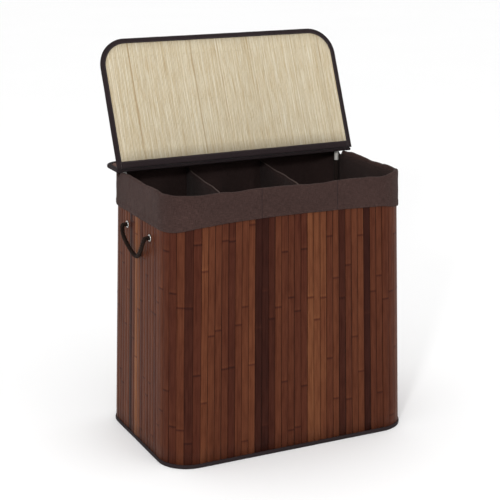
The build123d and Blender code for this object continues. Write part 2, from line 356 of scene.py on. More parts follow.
def thicken(made, thickness, offset):
    """Thicken a sheet on the side its faces point to (offset 1) or evenly on both (offset 0)."""
    modifier = made.modifiers.new("thickness", "SOLIDIFY")
    modifier.thickness = thickness
    modifier.offset = offset
    modifier.use_even_offset = True


def smooth_noise(x, y, z=0.0):
    """Noise between -1 and 1 that changes smoothly from place to place."""
    return noise.noise(Vector((x, y, z)))


# The tapered body's outline


def outline_point(station, z, out=0.0):
    """A point on the outline. A station is (share of the flat in X, share in Y, outward angle)."""
    share_x, share_y, angle = station
    flat_x = FLOOR_HALF_W - TAPER_X * z - CORNER_R
    flat_y = FLOOR_HALF_D - TAPER_Y * z - CORNER_R
    reach = CORNER_R + out
    x = share_x * flat_x + reach * math.cos(angle)
    y = share_y * flat_y + reach * math.sin(angle)
    return Vector((x, y, z))


def outline_stations(step):
    """Stations all round, about step apart, from the middle of the front towards the right."""
    flat_x, flat_y = FLOOR_HALF_W - CORNER_R, FLOOR_HALF_D - CORNER_R
    made = []

    def straight(x0, y0, x1, y1, angle, length):
        count = max(1, round(length / step))
        for i in range(count):
            t = i / count
            made.append((x0 + (x1 - x0) * t, y0 + (y1 - y0) * t, math.radians(angle)))

    def corner(sx, sy, start):
        count = max(3, round(CORNER_R * math.pi / 2 / step))
        for i in range(count):
            made.append((sx, sy, math.radians(start + 90 * i / count)))

    straight(0, -1, 1, -1, -90, flat_x)
    corner(1, -1, -90)
    straight(1, -1, 1, 1, 0, 2 * flat_y)
    corner(1, 1, 0)
    straight(1, 1, -1, 1, 90, 2 * flat_x)
    corner(-1, 1, 90)
    straight(-1, 1, -1, -1, 180, 2 * flat_y)
    corner(-1, -1, 180)
    straight(-1, -1, 0, -1, 270, flat_x)
    return made


def ring(name, stations, profile, place, material, body, **more):
    """A closed ring of cloth. place(station, z, out) puts each point of the profile in space."""
    verts, weave, along = [], [], 0.0
    lengths = [0.0]
    for a, b in zip(stations, stations[1:]):
        along += (outline_point(b, RIM_Z) - outline_point(a, RIM_Z)).length
        lengths.append(along)
    down = 0.0
    for row, (z, out) in enumerate(profile):
        if row:
            down += math.hypot(z - profile[row - 1][0], out - profile[row - 1][1])
        for station, length in zip(stations, lengths):
            verts.append(place(station, z, out))
            weave.append((length, down, 0.0))
    faces = grid_faces(len(stations), len(profile), closed_columns=True)
    return piece(name, verts, faces, material, body, data=woven(weave), **more)


# Rope handles. The route's points are the ones of the solid handle, as (y, z, outwards).
ROPE_D = 0.009
ROPE_STRANDS, ROPE_LAY = 4, 0.030
ROPE_ROUTE = [
    (0.066, 0.490, 0.012), (0.061, 0.476, 0.016), (0.043, 0.456, 0.0135), (0.020, 0.440, 0.0096),
    (0.0, 0.4335, 0.0082),
    (-0.020, 0.440, 0.0096), (-0.043, 0.456, 0.0135), (-0.061, 0.476, 0.016), (-0.066, 0.490, 0.012),
]
ROPE_LENGTH, ROPE_STEP = 0.178, 0.0011
STRAND_R, STRAND_OFFSET, STRAND_SIDES = ROPE_D * 0.245, ROPE_D * 0.30, 10


def spline_points(route):
    """The line of a smooth spline through the route, from Blender's own curve."""
    curve = bpy.data.curves.new("route", "CURVE")
    curve.dimensions = "3D"
    spline = curve.splines.new("NURBS")
    spline.points.add(len(route) - 1)
    for point, place in zip(spline.points, route):
        point.co = (*place, 1)
    spline.order_u = 3
    spline.use_endpoint_u = True
    spline.resolution_u = 12
    carrier = bpy.data.objects.new("route", curve)
    mesh = bpy.data.meshes.new_from_object(carrier)
    line = [v.co.copy() for v in mesh.vertices]
    bpy.data.meshes.remove(mesh)
    bpy.data.objects.remove(carrier)
    bpy.data.curves.remove(curve)
    return line


def even_line(line, step):
    """The same line with points a fixed step apart."""
    lengths = [0.0]
    for a, b in zip(line, line[1:]):
        lengths.append(lengths[-1] + (b - a).length)
    count = max(2, round(lengths[-1] / step))
    made, at = [], 0
    for i in range(count + 1):
        goal = lengths[-1] * i / count
        while at < len(line) - 2 and lengths[at + 1] < goal:
            at += 1
        span = max(lengths[at + 1] - lengths[at], 1e-9)
        made.append(line[at].lerp(line[at + 1], (goal - lengths[at]) / span))
    return made


def tube_mesh(line, radius, sides, turned=0.0, strand_offset=0.0, lay=1.0):
    """Vertices and faces of a tube along a line; strand_offset winds it round the line."""
    verts, weave, along = [], [], 0.0
    side = None
    for i, point in enumerate(line):
        ahead = (line[min(i + 1, len(line) - 1)] - line[max(i - 1, 0)]).normalized()
        if side is None:
            side = ahead.orthogonal().normalized()
        side = (side - ahead * side.dot(ahead)).normalized()
        other = ahead.cross(side)
        if i:
            along += (point - line[i - 1]).length
        spin = turned + 2 * math.pi * along / lay
        centre = point + strand_offset * (side * math.cos(spin) + other * math.sin(spin))
        for j in range(sides):
            a = 2 * math.pi * j / sides + spin
            verts.append(centre + radius * (side * math.cos(a) + other * math.sin(a)))
            weave.append((along, radius * 2 * math.pi * j / sides, turned))
    faces = []
    for i in range(len(line) - 1):
        for j in range(sides):
            k = (j + 1) % sides
            faces.append((i * sides + j, i * sides + k, (i + 1) * sides + k, (i + 1) * sides + j))
    faces.append(tuple(reversed(range(sides))))
    faces.append(tuple(range((len(line) - 1) * sides, len(line) * sides)))
    return verts, faces, weave


def tube_piece(name, line, radius, sides, material, slot):
    """A plain tube of cloth along a line, on the hamper."""
    verts, faces, weave = tube_mesh(line, radius, sides)
    return piece(name, verts, faces, material, "hamper", slot=slot, data=woven(weave))


def rope(name, line, body, nodes=()):
    """A laid rope: strands wound round a line."""
    verts, faces, weave = [], [], []
    for strand in range(ROPE_STRANDS):
        turned = 2 * math.pi * strand / ROPE_STRANDS
        strand_mesh = tube_mesh(line, STRAND_R, STRAND_SIDES, turned, STRAND_OFFSET, ROPE_LAY)
        faces += [tuple(i + len(verts) for i in face) for face in strand_mesh[1]]
        verts += strand_mesh[0]
        weave += strand_mesh[2]
    return piece(name, verts, faces, ROPE_FIBRE_AND_HIGHLIGHT, body, nodes, "rope", data=woven(weave))


for sign, side in ((-1, "left"), (1, "right")):
    route = [Vector((sign * (WALL_X + out), y, z)) for y, z, out in ROPE_ROUTE]
    line = even_line(spline_points(route), ROPE_STEP)
    loop = rope(f"{side}_rope", line, f"{side}_handle", (f"{side}_rope_handle",))
    tuple(line[0])
    [tuple(p) for p in line]


# Knots and eyelets
STUB_OUT, WALL_IN = 0.0068, 0.0063
KNOT_R, KNOT_DEEP, KNOT_FLATTEN, KNOT_STEPS = 0.0046, 0.0092, 0.9, 44

# Past its straight stub the rope bends down into the loop: (further out, down), from the end back
STUB_BEND = [(0.0060, 0.0030), (0.0048, 0.0012), (0.0030, 0.0003), (0.0014, 0.0)]


def knot_line(sign, y):
    """Through the eyelet, then round a small overhand knot inside the bag."""
    start = Vector((sign * (WALL_X + STUB_OUT), y, HANDLE_Z))
    inside = Vector((sign * (WALL_X - WALL_IN), y, HANDLE_Z))
    middle = Vector((sign * (WALL_X - WALL_IN - KNOT_DEEP), y, HANDLE_Z))
    made = [start + Vector((sign * out, 0, -down)) for out, down in STUB_BEND]
    made += [start.lerp(inside, i / 8) for i in range(9)]
    for i in range(1, KNOT_STEPS):
        t = 2 * math.pi * i / KNOT_STEPS
        x = (math.sin(t) + 2 * math.sin(2 * t)) / 3
        u = (math.cos(t) - 2 * math.cos(2 * t)) / 3
        w = -math.sin(3 * t) / 2
        made.append(middle + Vector((-sign * w * KNOT_R * KNOT_FLATTEN, x * KNOT_R, u * KNOT_R)))
    return made


def lathe_x(name, sign, y, profile, material, slot, steps=36):
    """A turned piece on an eyelet's axis. The closed profile is (outwards from the slats, radius)."""
    verts, faces, count = [], [], len(profile)
    for i in range(steps):
        a = 2 * math.pi * i / steps
        for out, radius in profile:
            across, up = radius * math.cos(a), radius * math.sin(a)
            verts.append((sign * (WALL_X + out), y + across, HANDLE_Z + up))
    for i in range(steps):
        k = (i + 1) % steps
        for j in range(count):
            m = (j + 1) % count
            quad = (i * count + j, i * count + m, k * count + m, k * count + j)
            faces.append(quad if sign > 0 else tuple(reversed(quad)))
    return piece(name, verts, faces, material, "hamper", slot=slot)


EYELET_BORE, EYELET_BARREL, EYELET_FLANGE = 0.0049, 0.0057, 0.0079
ROLL_OUT, ROLL_H, ROLL_R, ROLL_HALF_W = 0.0007, 0.0013, 0.0064, 0.0015


def rolled_eyelet():
    """A pressed eyelet's section: barrel, rolled outer flange and flat inner washer."""
    made = [(-0.0063, EYELET_BORE), (0.0004, EYELET_BORE)]
    for i in range(9):
        a = math.pi - math.pi * i / 8
        made.append((ROLL_OUT + ROLL_H * math.sin(a), ROLL_R + ROLL_HALF_W * math.cos(a)))
    made += [(0.0004, EYELET_FLANGE), (0.0003, EYELET_BARREL), (-0.0051, EYELET_BARREL)]
    made += [(-0.0051, 0.0078), (-0.0060, EYELET_FLANGE)]
    return made


EYELET_SECTION = rolled_eyelet()
for sign, side in ((-1, "left"), (1, "right")):
    for y, end in ((-HANDLE_HALF_GAP, "front"), (HANDLE_HALF_GAP, "back")):
        made = lathe_x(f"{side}_{end}_eyelet", sign, y, EYELET_SECTION, CHROME, "eyelet")
        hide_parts(f"{side}_eyelets")
        rope(f"{side}_{end}_knot", knot_line(sign, y), "hamper", (f"{side}_knots",))


# Slats and sticks

# A strip's section: (share of half the width, share of the crown); below -0.5 it is the flat back
STRIP_SECTION = [
    (-1.0, -1.0), (-1.0, -0.35), (-0.86, 0.0), (-0.45, 0.75), (0.0, 1.0),
    (0.45, 0.75), (0.86, 0.0), (1.0, -0.35), (1.0, -1.0),
]
BACK_HEIGHT = -0.5

# Growth rings: rows of points close to each, its swelling, and its dark line with a paler band past it
RING_STOPS = (-0.006, -0.003, -0.0018, -0.0009, 0.0, 0.0009, 0.0018, 0.004, 0.008, 0.014)
RING_HALF, RING_RISE, RING_DARK = 0.0019, 0.00022, 0.42
HALO_HALF, HALO_PALE = 0.004, 0.10

# How much a strip's width and tone drift along it, and how often
WIDTH_DRIFT, WIDTH_RATE = 0.02, 14
TONE_DRIFT, TONE_RATE = 0.10, 9


def row_places(length, rows, rings):
    """The shares of a strip's length that get a row of points: evenly, and close round each ring."""
    near = {round((r + d) / length, 5) for r in rings for d in RING_STOPS if 0 < r + d < length}
    return sorted({round(i / (rows - 1), 5) for i in range(rows)} | near)


def strip_mesh(store, centre_at, along, normal, width, thickness, rows, crown, tone, rings, trim=None):
    """One bamboo strip: crowned outside, with a slight swelling at each growth ring.

    trim(x) is how far the strip reaches in Y at x, so that its end follows a rounded outline.
    """
    start, wobble = len(store["verts"]), RNG.uniform(0, 90)
    shift = RNG.uniform(0, 40)
    shares = row_places(store["length"], rows, rings)
    start_y = centre_at(0.0).y
    for t in shares:
        centre, s = centre_at(t), t * store["length"]
        swell = sum(math.exp(-(((s - r) / RING_HALF) ** 2)) for r in rings)
        halo = sum(math.exp(-(((s - r - HALO_HALF) / HALO_HALF) ** 2)) for r in rings)
        half = width(t) / 2 * (1 + WIDTH_DRIFT * smooth_noise(wobble, s * WIDTH_RATE))
        drift = TONE_DRIFT * smooth_noise(wobble, s * TONE_RATE, 3)
        shade = max(0.0, min(1.0, tone + drift - (RING_DARK * swell - HALO_PALE * halo)))
        for across, height in STRIP_SECTION:
            if height > BACK_HEIGHT:
                up = crown * (height - 1) + RING_RISE * swell
            else:
                up = -thickness
            place = centre + along * (across * half) + normal * up
            if trim:
                place.y = start_y + (trim(place.x) - start_y) * t
            store["verts"].append(place)
            store["grain"].append((across * half + shift, s + shift, 0.0))
            store["tone"].append(shade)
    store["faces"] += bar_faces(len(STRIP_SECTION), len(shares), start)


def new_store(length):
    """Where strips of one length are gathered, to become one piece."""
    return {"verts": [], "faces": [], "grain": [], "tone": [], "length": length}


def strips_piece(name, store, material, body, node, slot, turn=HERE):
    """The gathered strips as one piece, with the attributes that the bamboo's material reads."""
    verts = [turn @ v for v in store["verts"]]
    data = {"grain": ("FLOAT_VECTOR", store["grain"]), "tone": ("FLOAT", store["tone"])}
    piece(name, verts, store["faces"], material, body, (node,), slot, data=data)


FRONT_SLATS, SIDE_SLATS, CORNER_SLATS = 28, 15, 6
SLAT_T, SLAT_CROWN, SLAT_ROWS = 0.0019, 0.0005, 16
SLAT_TONE, SLAT_TONE_SPREAD = 0.45, 0.23
RINGS, RING_GAP_LOW, RING_GAP_HIGH = 3, 0.26, 0.32


def slat_tone():
    """Mostly middling browns, with a few much paler or darker slats."""
    return min(1.0, max(0.0, RNG.gauss(SLAT_TONE, SLAT_TONE_SPREAD)))


def growth_rings(length):
    """Where the rings cross a slat, from its low end."""
    first = RNG.uniform(0.02, 0.34)
    return [first + i * RNG.uniform(RING_GAP_LOW, RING_GAP_HIGH) for i in range(RINGS)
            if first + i * RING_GAP_HIGH < length]


def body_slats():
    """The slats of each wall; the corner slats go with the end walls."""
    walls = {side: new_store(SLAT_HIGH_Z - SLAT_LOW_Z) for side in ("front", "right", "back", "left")}
    flat_x, flat_y = FLOOR_HALF_W - CORNER_R, FLOOR_HALF_D - CORNER_R
    plan = []
    for side, count, angle, flat, taper in (
        ("front", FRONT_SLATS, -90, flat_x, TAPER_X), ("right", SIDE_SLATS, 0, flat_y, TAPER_Y),
        ("back", FRONT_SLATS, 90, flat_x, TAPER_X), ("left", SIDE_SLATS, 180, flat_y, TAPER_Y),
    ):
        for i in range(count):
            share = -1 + (2 * i + 1) / count
            a = math.radians(angle)
            station = (share * -math.sin(a), share * math.cos(a), a)
            station = (station[0] + round(math.cos(a)), station[1] + round(math.sin(a)), a)
            plan.append((side, station, lambda z, f=flat, k=taper, n=count: 2 * (f - k * z) / n))
    step = 90.0 / CORNER_SLATS
    arc = 2 * CORNER_R * math.tan(math.radians(step / 2))
    for start, sx, sy in ((0, 1, 1), (90, -1, 1), (180, -1, -1), (270, 1, -1)):
        for i in range(CORNER_SLATS):
            a = math.radians(start + (i + 0.5) * step)
            plan.append(("right" if sx > 0 else "left", (sx, sy, a), lambda z, w=arc: w))
    rise = SLAT_HIGH_Z - SLAT_LOW_Z
    for side, station, pitch in plan:
        a = station[2]
        normal, along = Vector((math.cos(a), math.sin(a), 0)), Vector((-math.sin(a), math.cos(a), 0))
        gap, sunk = RNG.uniform(0.0009, 0.0016), RNG.uniform(0, 0.0003)
        lean = RNG.uniform(-0.0003, 0.0003)
        strip_mesh(
            walls[side],
            lambda t: outline_point(station, SLAT_LOW_Z + rise * t, -sunk) + along * lean * (2 * t - 1),
            along, normal,
            lambda t: pitch(SLAT_LOW_Z + rise * t) - gap,
            SLAT_T, SLAT_ROWS, SLAT_CROWN, slat_tone(), growth_rings(rise),
        )
    return walls


for side, store in body_slats().items():
    strips_piece(f"{side}_wall_slats", store, DARK_BAMBOO, "hamper", f"{side}_slats", "bamboo_dark")


# Cuff, bag, base and rim bindings

STATIONS = outline_stations(0.006)
CUFF_STATIONS = outline_stations(0.003)
CUFF_MIDDLE_Z, CUFF_FLAT_W = 0.56, 0.122
CUFF_SEAMS = (-0.079, 0.103)
CUFF_CLOTH_T, BAG_CLOTH_T = 0.0007, 0.0008


def notch_top(point):
    """How high the cloth's rim may stand at a point: it dips round the pole heads."""
    near = math.exp(-(((point.y - NOTCH_Y) / (NOTCH_HALF * 0.95)) ** 4))
    on_end_wall = abs(point.x) > FLOOR_HALF_W - TAPER_X * RIM_Z - CORNER_R
    return RIM_Z - (RIM_Z - NOTCH_Z) * near * on_end_wall


def around(point, scale, seed, up=0.0):
    """Smooth noise round the outline, with no seam where it starts."""
    return smooth_noise(point.x * scale + seed, point.y * scale - seed, up)


def rim_shift(point):
    """The rim's waves, with a small peak at the front's right; it lies flat under the rear leaf."""
    under_strip = min(1.0, max(0.0, (point.y - 0.070) / 0.02))
    peak = math.exp(-(((point.x - 0.262) / 0.022) ** 2)) * (point.y < -0.08)
    wave = 0.0030 * around(point, 14, 3.1) + 0.0016 * around(point, 38, 8.7) + 0.0032 * peak
    return wave * (1 - under_strip) - 0.0008 * under_strip


HEM_RISE = 0.0085


def cuff_edge(point):
    """The hem hangs lower on the end walls and a little higher in the middle of the front."""
    aside = min(1.0, max(0.0, (abs(point.x) - 0.215) / 0.07))
    aside = aside * aside * (3 - 2 * aside)
    rise = HEM_RISE * math.cos(min(1.0, abs(point.x) / 0.27) * math.pi / 2)
    return rise - 0.0005 - HEM_RISE * aside + 0.0012 * around(point, 22, 5.5)


def cuff_place(station, z, out):
    """Outside, the cloth ripples and is drawn in at its seams; inside, it lies flat."""
    base = outline_point(station, z, out)
    top = notch_top(base) + rim_shift(base) * (1 if z > CUFF_LOW_Z + 0.02 else 0)
    rise = (z - CUFF_LOW_Z) / (RIM_Z - CUFF_LOW_Z)
    low = CUFF_LOW_Z + cuff_edge(base) if out > 0 else CUFF_LOW_Z
    new_z = low + (top - low) * rise
    if out <= 0:
        return outline_point(station, new_z, out)
    ripple = 0.0009 * around(base, 30, 1.7, z * 20) + 0.0005 * around(base, 80, 9.2, z * 45)
    seam = sum(math.exp(-(((base.x - x) / 0.0028) ** 2)) for x in CUFF_SEAMS) * (base.y < 0)
    grow = 0.0004 + ripple - 0.0009 * seam
    return outline_point(station, new_z, out + grow)


def cuff_profile():
    """Up the outside from the hem, over the rim and down inside."""
    rise = RIM_Z - CUFF_LOW_Z
    hem = [
        (0.0, 0.0014), (0.0, 0.0026), (0.03, 0.0031), (0.09, 0.0031), (0.125, 0.0031), (0.14, 0.0025),
    ]
    side = [(0.14 + 0.80 * i / 11, 0.0025 - 0.0002 * math.sin(i)) for i in range(1, 12)]
    over = []
    for i in range(1, 9):
        a = math.pi * i / 9
        over.append((0.955 + 0.045 * math.sin(a), -0.0011 + 0.0034 * math.cos(a)))
    inside = [(0.93 - 0.06 * i, -0.0045) for i in range(9)]
    return [(CUFF_LOW_Z + rise * share, out) for share, out in hem + side + over + inside]


cuff = ring("cloth_cuff", CUFF_STATIONS, cuff_profile(), cuff_place, CUFF_CLOTH, "hamper",
            nodes=("liner_cuff",), slot="cuff_cloth")
thicken(cuff, CUFF_CLOTH_T, 1.0)
CUFF_AROUND = sum((outline_point(b, CUFF_MIDDLE_Z) - outline_point(a, CUFF_MIDDLE_Z)).length
                  for a, b in zip(STATIONS, STATIONS[1:] + STATIONS[:1]))


def seam_line(x):
    """The line of a cuff seam, on the cloth's outside from the hem to the rim."""
    share = x / (FLOOR_HALF_W - TAPER_X * CUFF_MIDDLE_Z - CORNER_R)
    station = (share, -1, math.radians(-90))
    rows = [row for row in cuff_profile() if row[1] > 0]
    return [cuff_place(station, z, out) + Vector((0, -0.0008, 0)) for z, out in rows]


seams = []
for number, x in enumerate(CUFF_SEAMS):
    line = even_line(seam_line(x), 0.002)
    seams.append(tube_piece(f"cuff_seam_{number}", line, 0.00055, 8, BINDING_CLOTH, "cuff_cloth"))
# The cuff and its seams each get their own copy of their mesh.
for soft in [cuff, *seams]:
    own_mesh(soft)

# The bag: its floor and its walls' top edge, the place of the wall and of the floor's first ring,
# the depth of its folds, and its flat size
BAG_FLOOR_Z, BAG_TOP_Z, BAG_OUT, BAG_FLOOR_OUT, BAG_FOLD = 0.0112, 0.592, -0.0052, -0.013, 0.0170


def quiet_near_fittings(point, z):
    """0 next to a pole or an eyelet, 1 away from them, so folds keep clear of both."""
    on_end = abs(point.x) > FLOOR_HALF_W - 0.085
    pole = 1 - math.exp(-(((point.y - NOTCH_Y) / 0.030) ** 2)) if on_end else 1.0
    knots = 1.0
    if on_end:
        for y in (-HANDLE_HALF_GAP, HANDLE_HALF_GAP):
            knots *= 1 - math.exp(-(((point.y - y) / 0.026) ** 2) - ((z - HANDLE_Z) / 0.035) ** 2)
    return pole * knots


def bag_place(station, z, out):
    """The walls hang in folds inwards; the floor, further in, lies nearly flat."""
    base = outline_point(station, z, out)
    if out <= BAG_FLOOR_OUT:
        return base + Vector((0, 0, 0.0012 * (1 + around(base, 26, 4.4))))
    depth = min(1.0, max(0.0, (0.585 - z) / 0.12)) * min(1.0, (z - BAG_FLOOR_Z) / 0.05)
    crease = 1 - 3.2 * abs(around(base, 16, 9.4, z * 2.4))
    large, small = around(base, 13, 2.2, z * 1.6), around(base, 34, 6.1, z * 5)
    folds = 0.35 + 0.8 * large + 0.4 * small + 0.45 * crease
    inward = BAG_FOLD * max(0.0, folds) * depth * quiet_near_fittings(base, z)
    top = notch_top(base) - 0.004
    return outline_point(station, min(z, top), out - inward)


def bag_profile():
    """Down the walls, then a little way in over the floor."""
    walls = [(BAG_TOP_Z - 0.578 * (i / 36) ** 1.05, BAG_OUT) for i in range(37)]
    return walls + [(BAG_FLOOR_Z, out) for out in (BAG_OUT, BAG_FLOOR_OUT, -0.03, -0.05)]


bag = ring("cloth_bag", STATIONS, bag_profile(), bag_place, LINER_CLOTH, "hamper",
           nodes=("liner_bag",), slot="liner_cloth")
last_row = [len(bag.data.vertices) - len(STATIONS) + i for i in range(len(STATIONS))]


def close_floor(made, rim):
    """Fill the bag's floor inwards from its last ring, whose points are given by their numbers."""
    mesh = made.data
    verts = [v.co.copy() for v in mesh.vertices]
    weave = [tuple(a.vector) for a in mesh.attributes["weave"].data]
    faces = [tuple(p.vertices) for p in mesh.polygons]
    count = len(rim)
    for shrink in (0.86, 0.7, 0.52, 0.34, 0.16):
        start = len(verts)
        for index in rim:
            point = verts[index]
            lift = 0.0015 * (1 + around(point * shrink, 22, 7.7))
            place = Vector((point.x * shrink, point.y * shrink, BAG_FLOOR_Z + lift))
            verts.append(place)
            weave.append((place.x, place.y, 0.0))
        previous = rim if start == len(mesh.vertices) else list(range(start - count, start))
        for i in range(count):
            k = (i + 1) % count
            faces.append((previous[i], previous[k], start + k, start + i))
    faces.append(tuple(range(len(verts) - count, len(verts))))
    made.data = new_mesh(made.name, verts, faces, LINER_CLOTH, woven(weave))


close_floor(bag, last_row)
thicken(bag, BAG_CLOTH_T, 1.0)


def soft_ring(name, node, low, high, inner, outer):
    """A binding with a rounded, slightly uneven section round the whole body."""
    section = []
    for i in range(12):
        a = 2 * math.pi * i / 12
        up = 0.5 + 0.5 * math.copysign(abs(math.sin(a)) ** 0.6, math.sin(a))
        out = 0.5 + 0.5 * math.copysign(abs(math.cos(a)) ** 0.6, math.cos(a))
        section.append((low + (high - low) * up, inner + (outer - inner) * out))
    section.append(section[0])

    def place(station, z, out):
        base = outline_point(station, z, out)
        puff = 0.0004 * around(base, 45, low * 30 + 1, z * 50) * (out > (inner + outer) / 2)
        return outline_point(station, max(z, low), out + puff)

    ring(name, STATIONS, section, place, BINDING_CLOTH, "hamper", nodes=(node,), slot="binding_cloth")


soft_ring("base_binding", "base_piping", 0.0, 0.0094, -0.005, 0.0017)
soft_ring("wall_top_binding", "rim_binding", 0.576, 0.582, -0.002, 0.0004)


# Dividers
DIVIDER_X, DIVIDER_INSET = 0.095, 0.0056
DIVIDER_COLUMNS, DIVIDER_ROWS = 61, 49
DIVIDER_CLOTH_T, PIPING_R = 0.001, 0.0014
DIVIDER_FRONT_Z, DIVIDER_MIDDLE_Z, DIVIDER_BACK_Z, DIVIDER_LOW_Z = 0.548, 0.560, 0.580, 0.0115


def divider_top(share):
    """The top edge, from the front (0) to the back (1), through its three set heights."""
    front = DIVIDER_FRONT_Z * (1 - share) * (1 - 2 * share)
    middle = 4 * DIVIDER_MIDDLE_Z * share * (1 - share)
    back = DIVIDER_BACK_Z * share * (2 * share - 1)
    return front + middle + back


def divider_point(x, share_y, share_z, seed):
    """A point of a slack divider, held along its two sides and at its foot."""
    z = DIVIDER_LOW_Z + (divider_top(share_y) - DIVIDER_LOW_Z) * share_z
    half = FLOOR_HALF_D - TAPER_Y * z - DIVIDER_INSET
    y = -half + 2 * half * share_y
    held = math.sin(math.pi * share_y) ** 0.5 if 0 < share_y < 1 else 0.0
    drift = smooth_noise(seed, y * 11, z * 3) * 0.009 + smooth_noise(seed + 4, y * 34, z * 6) * 0.003
    return Vector((x + drift * held * min(1.0, share_z * 6), y, z))


for sign, side in ((-1, "left"), (1, "right")):
    columns, rows = DIVIDER_COLUMNS, DIVIDER_ROWS
    verts = [divider_point(sign * DIVIDER_X, c / (columns - 1), r / (rows - 1), 3.0 + sign)
             for r in range(rows) for c in range(columns)]
    made = piece(
        f"{side}_cloth_divider", verts, grid_faces(columns, rows), LINER_CLOTH, "hamper",
        (f"{side}_divider",), "liner_cloth", data=woven([(v.y, v.z, 0.0) for v in verts]),
    )
    thicken(made, DIVIDER_CLOTH_T, 0.0)
    edge = even_line(verts[-columns:], 0.004)
    hem = tube_piece(f"{side}_divider_piping", edge, PIPING_R, 10, PIPING_CLOTH, "cuff_cloth")


# Lid leaves, made shut and then turned

OUTLINE_STEP, ARC_STEPS = 0.006, 16


def leaf_outline(y_far, y_hinge, radius, inset):
    """Points and outward normals: from the left hinge end, round the far edge, to the right one."""
    toward = -1 if y_far < y_hinge else 1
    half, far, r = LID_HALF_W - inset, y_far - toward * inset, radius - inset
    corner_y = far - toward * r
    made = []
    count = max(2, round(abs(corner_y - y_hinge) / OUTLINE_STEP))
    for i in range(count):
        made.append((Vector((-half, y_hinge + (corner_y - y_hinge) * i / count, 0)), Vector((-1, 0, 0))))
    for i in range(ARC_STEPS + 1):
        a = math.pi / 2 * i / ARC_STEPS
        n = Vector((-math.cos(a), toward * math.sin(a), 0))
        made.append((Vector((-half + r, corner_y, 0)) + r * n, n))
    across = max(2, round(2 * (half - r) / OUTLINE_STEP))
    for i in range(1, across):
        made.append((Vector((-half + r + 2 * (half - r) * i / across, far, 0)), Vector((0, toward, 0))))
    for i in range(ARC_STEPS + 1):
        a = math.pi / 2 * (1 - i / ARC_STEPS)
        n = Vector((math.cos(a), toward * math.sin(a), 0))
        made.append((Vector((half - r, corner_y, 0)) + r * n, n))
    for i in range(1, count + 1):
        made.append((Vector((half, corner_y + (y_hinge - corner_y) * i / count, 0)), Vector((1, 0, 0))))
    return made


def far_reach(x, y_far, radius, inset, toward):
    """How far in Y a strip at x reaches before it meets the rounded outline."""
    half, r = LID_HALF_W - inset, radius - inset
    over = abs(x) - (half - r)
    far = y_far - toward * inset
    if over <= 0:
        return far
    return far - toward * (r - math.sqrt(max(0.0, r * r - over * over)))


BAND_SECTION = [
    (0.0, 0.0), (0.35, -0.02), (0.7, -0.03), (0.93, 0.03), (1.0, 0.25), (1.02, 0.5), (1.0, 0.75),
    (0.93, 0.97), (0.7, 1.03), (0.35, 1.02), (0.0, 1.0),
]


def band(name, path, width, body, node, turn, seed):
    """A folded cloth binding: its section is (share of width outwards, share of thickness up)."""
    verts, weave, along = [], [], 0.0
    low = LID_TOP_Z - LID_T
    for i, (point, normal) in enumerate(path):
        if i:
            along += (point - path[i - 1][0]).length
        for out, up in BAND_SECTION:
            soft = 0.00025 * smooth_noise(along * 30 + seed, out * 3, up * 3)
            place = point - normal * width * (1 - out) + normal * (soft - 0.0002)
            place.z = low + LID_T * min(1.0, max(0.0, up)) + (soft if 0.2 < out < 0.9 else 0)
            verts.append(turn @ place)
            weave.append((along, out * width + up * LID_T, 0.0))
    faces = bar_faces(len(BAND_SECTION), len(path))
    piece(name, verts, faces, BINDING_CLOTH, body, (node,), "binding_cloth", data=woven(weave))


STITCH_PITCH, STITCH_LENGTH, STITCH_HALF_W, STITCH_RISE = 0.0036, 0.0025, 0.00032, 0.00035


def stitches(name, lines, height, body, turn, up=1.0):
    """Rows of short raised stitches along paths of points."""
    verts, faces = [], []
    for line in lines:
        dense = even_line(line, STITCH_PITCH)
        for a, b in zip(dense, dense[1:]):
            run = (b - a).normalized()
            side = Vector((-run.y, run.x, 0))
            start = len(verts)
            for t, lift in ((0.0, 0.0), (0.3, 0.9), (0.7, 0.9), (1.0, 0.0)):
                centre = a + run * STITCH_LENGTH * t
                for across, top in ((-STITCH_HALF_W, 0.0), (0.0, 1.0), (STITCH_HALF_W, 0.0)):
                    place = centre + side * across
                    place.z = height + up * STITCH_RISE * (lift * (0.4 + 0.6 * top) - 0.2)
                    verts.append(turn @ place)
            faces += grid_faces(3, 4, start=start)
    piece(name, verts, faces, THREAD, body, slot="binding_cloth")


STITCH_IN, UNDER_BINDING = 0.0016, 0.001
STICK_PITCH, STICK_GAP, STICK_T, STICK_CROWN, STICK_ROWS = 0.0030, 0.00030, 0.0010, 0.0004, 10
STICK_TONE, STICK_TONE_SPREAD, DARK_STICK_TONE, DARK_STICK_CHANCE = 0.62, 0.2, 0.08, 0.012
THREAD_ROWS = (0.038, 0.092, 0.145, 0.199, 0.252)
THREAD_R = 0.00026
LID_SLAT_PITCH, LID_SLAT_ROWS = 0.0173, 14


